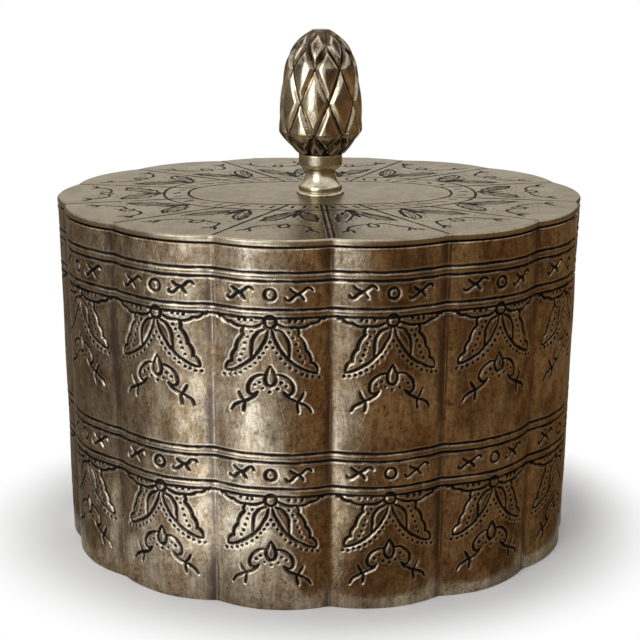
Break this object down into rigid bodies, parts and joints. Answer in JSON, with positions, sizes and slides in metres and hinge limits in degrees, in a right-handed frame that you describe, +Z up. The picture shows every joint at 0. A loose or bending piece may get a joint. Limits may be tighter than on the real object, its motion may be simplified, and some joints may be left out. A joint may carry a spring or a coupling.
{
  "type": "lidded box",
  "caption": "Fluted oval box with straight lobed sides and chased bands, a flat lid hinged at the back and an acorn finial to lift it by; keeps tea or small things on a table.",
  "frame": {"origin": "middle of the base, on the plane that the box stands on", "axes": "+Z up, +X along the oval's long axis, -Y towards the front, hinge at +Y"},
  "size_m": [0.126, 0.1066, 0.1232],
  "materials": {
    "plated_wall": "silver plate worn to brown-gold tarnish, satin, dark patina in the chasing",
    "plated_lid": "dull silver plate with fine engraved lines",
    "plated_inside": "plain tarnished plate",
    "hinge_brass": "tarnished brass, worn bright on the knuckles",
    "turned_pedestal": "turned and polished plate, lightly tarnished",
    "cast_acorn": "polished cast plate with dark lattice lines",
    "fastener_steel": "dull plated steel"
  },
  "bodies": {
    "box": {"body_wall": "plated_wall", "base_plate": "plated_inside", "body_knuckle_left": "hinge_brass", "body_knuckle_right": "hinge_brass", "hinge_pin": "hinge_brass"},
    "lid": {"lid_plate": "plated_lid", "lid_bezel": "plated_inside", "lid_knuckle": "hinge_brass", "finial_pedestal": "turned_pedestal", "finial_acorn": "cast_acorn", "finial_stud": "fastener_steel", "finial_washer": "fastener_steel", "finial_nut": "fastener_steel"}
  },
  "joints": [
    {"name": "lid_hinge", "type": "hinge", "parent": "box", "child": "lid", "pos_m": [0, 0.05353, 0.08275], "axis": [-1, 0, 0], "range_deg": [0, 105]}
  ]
}
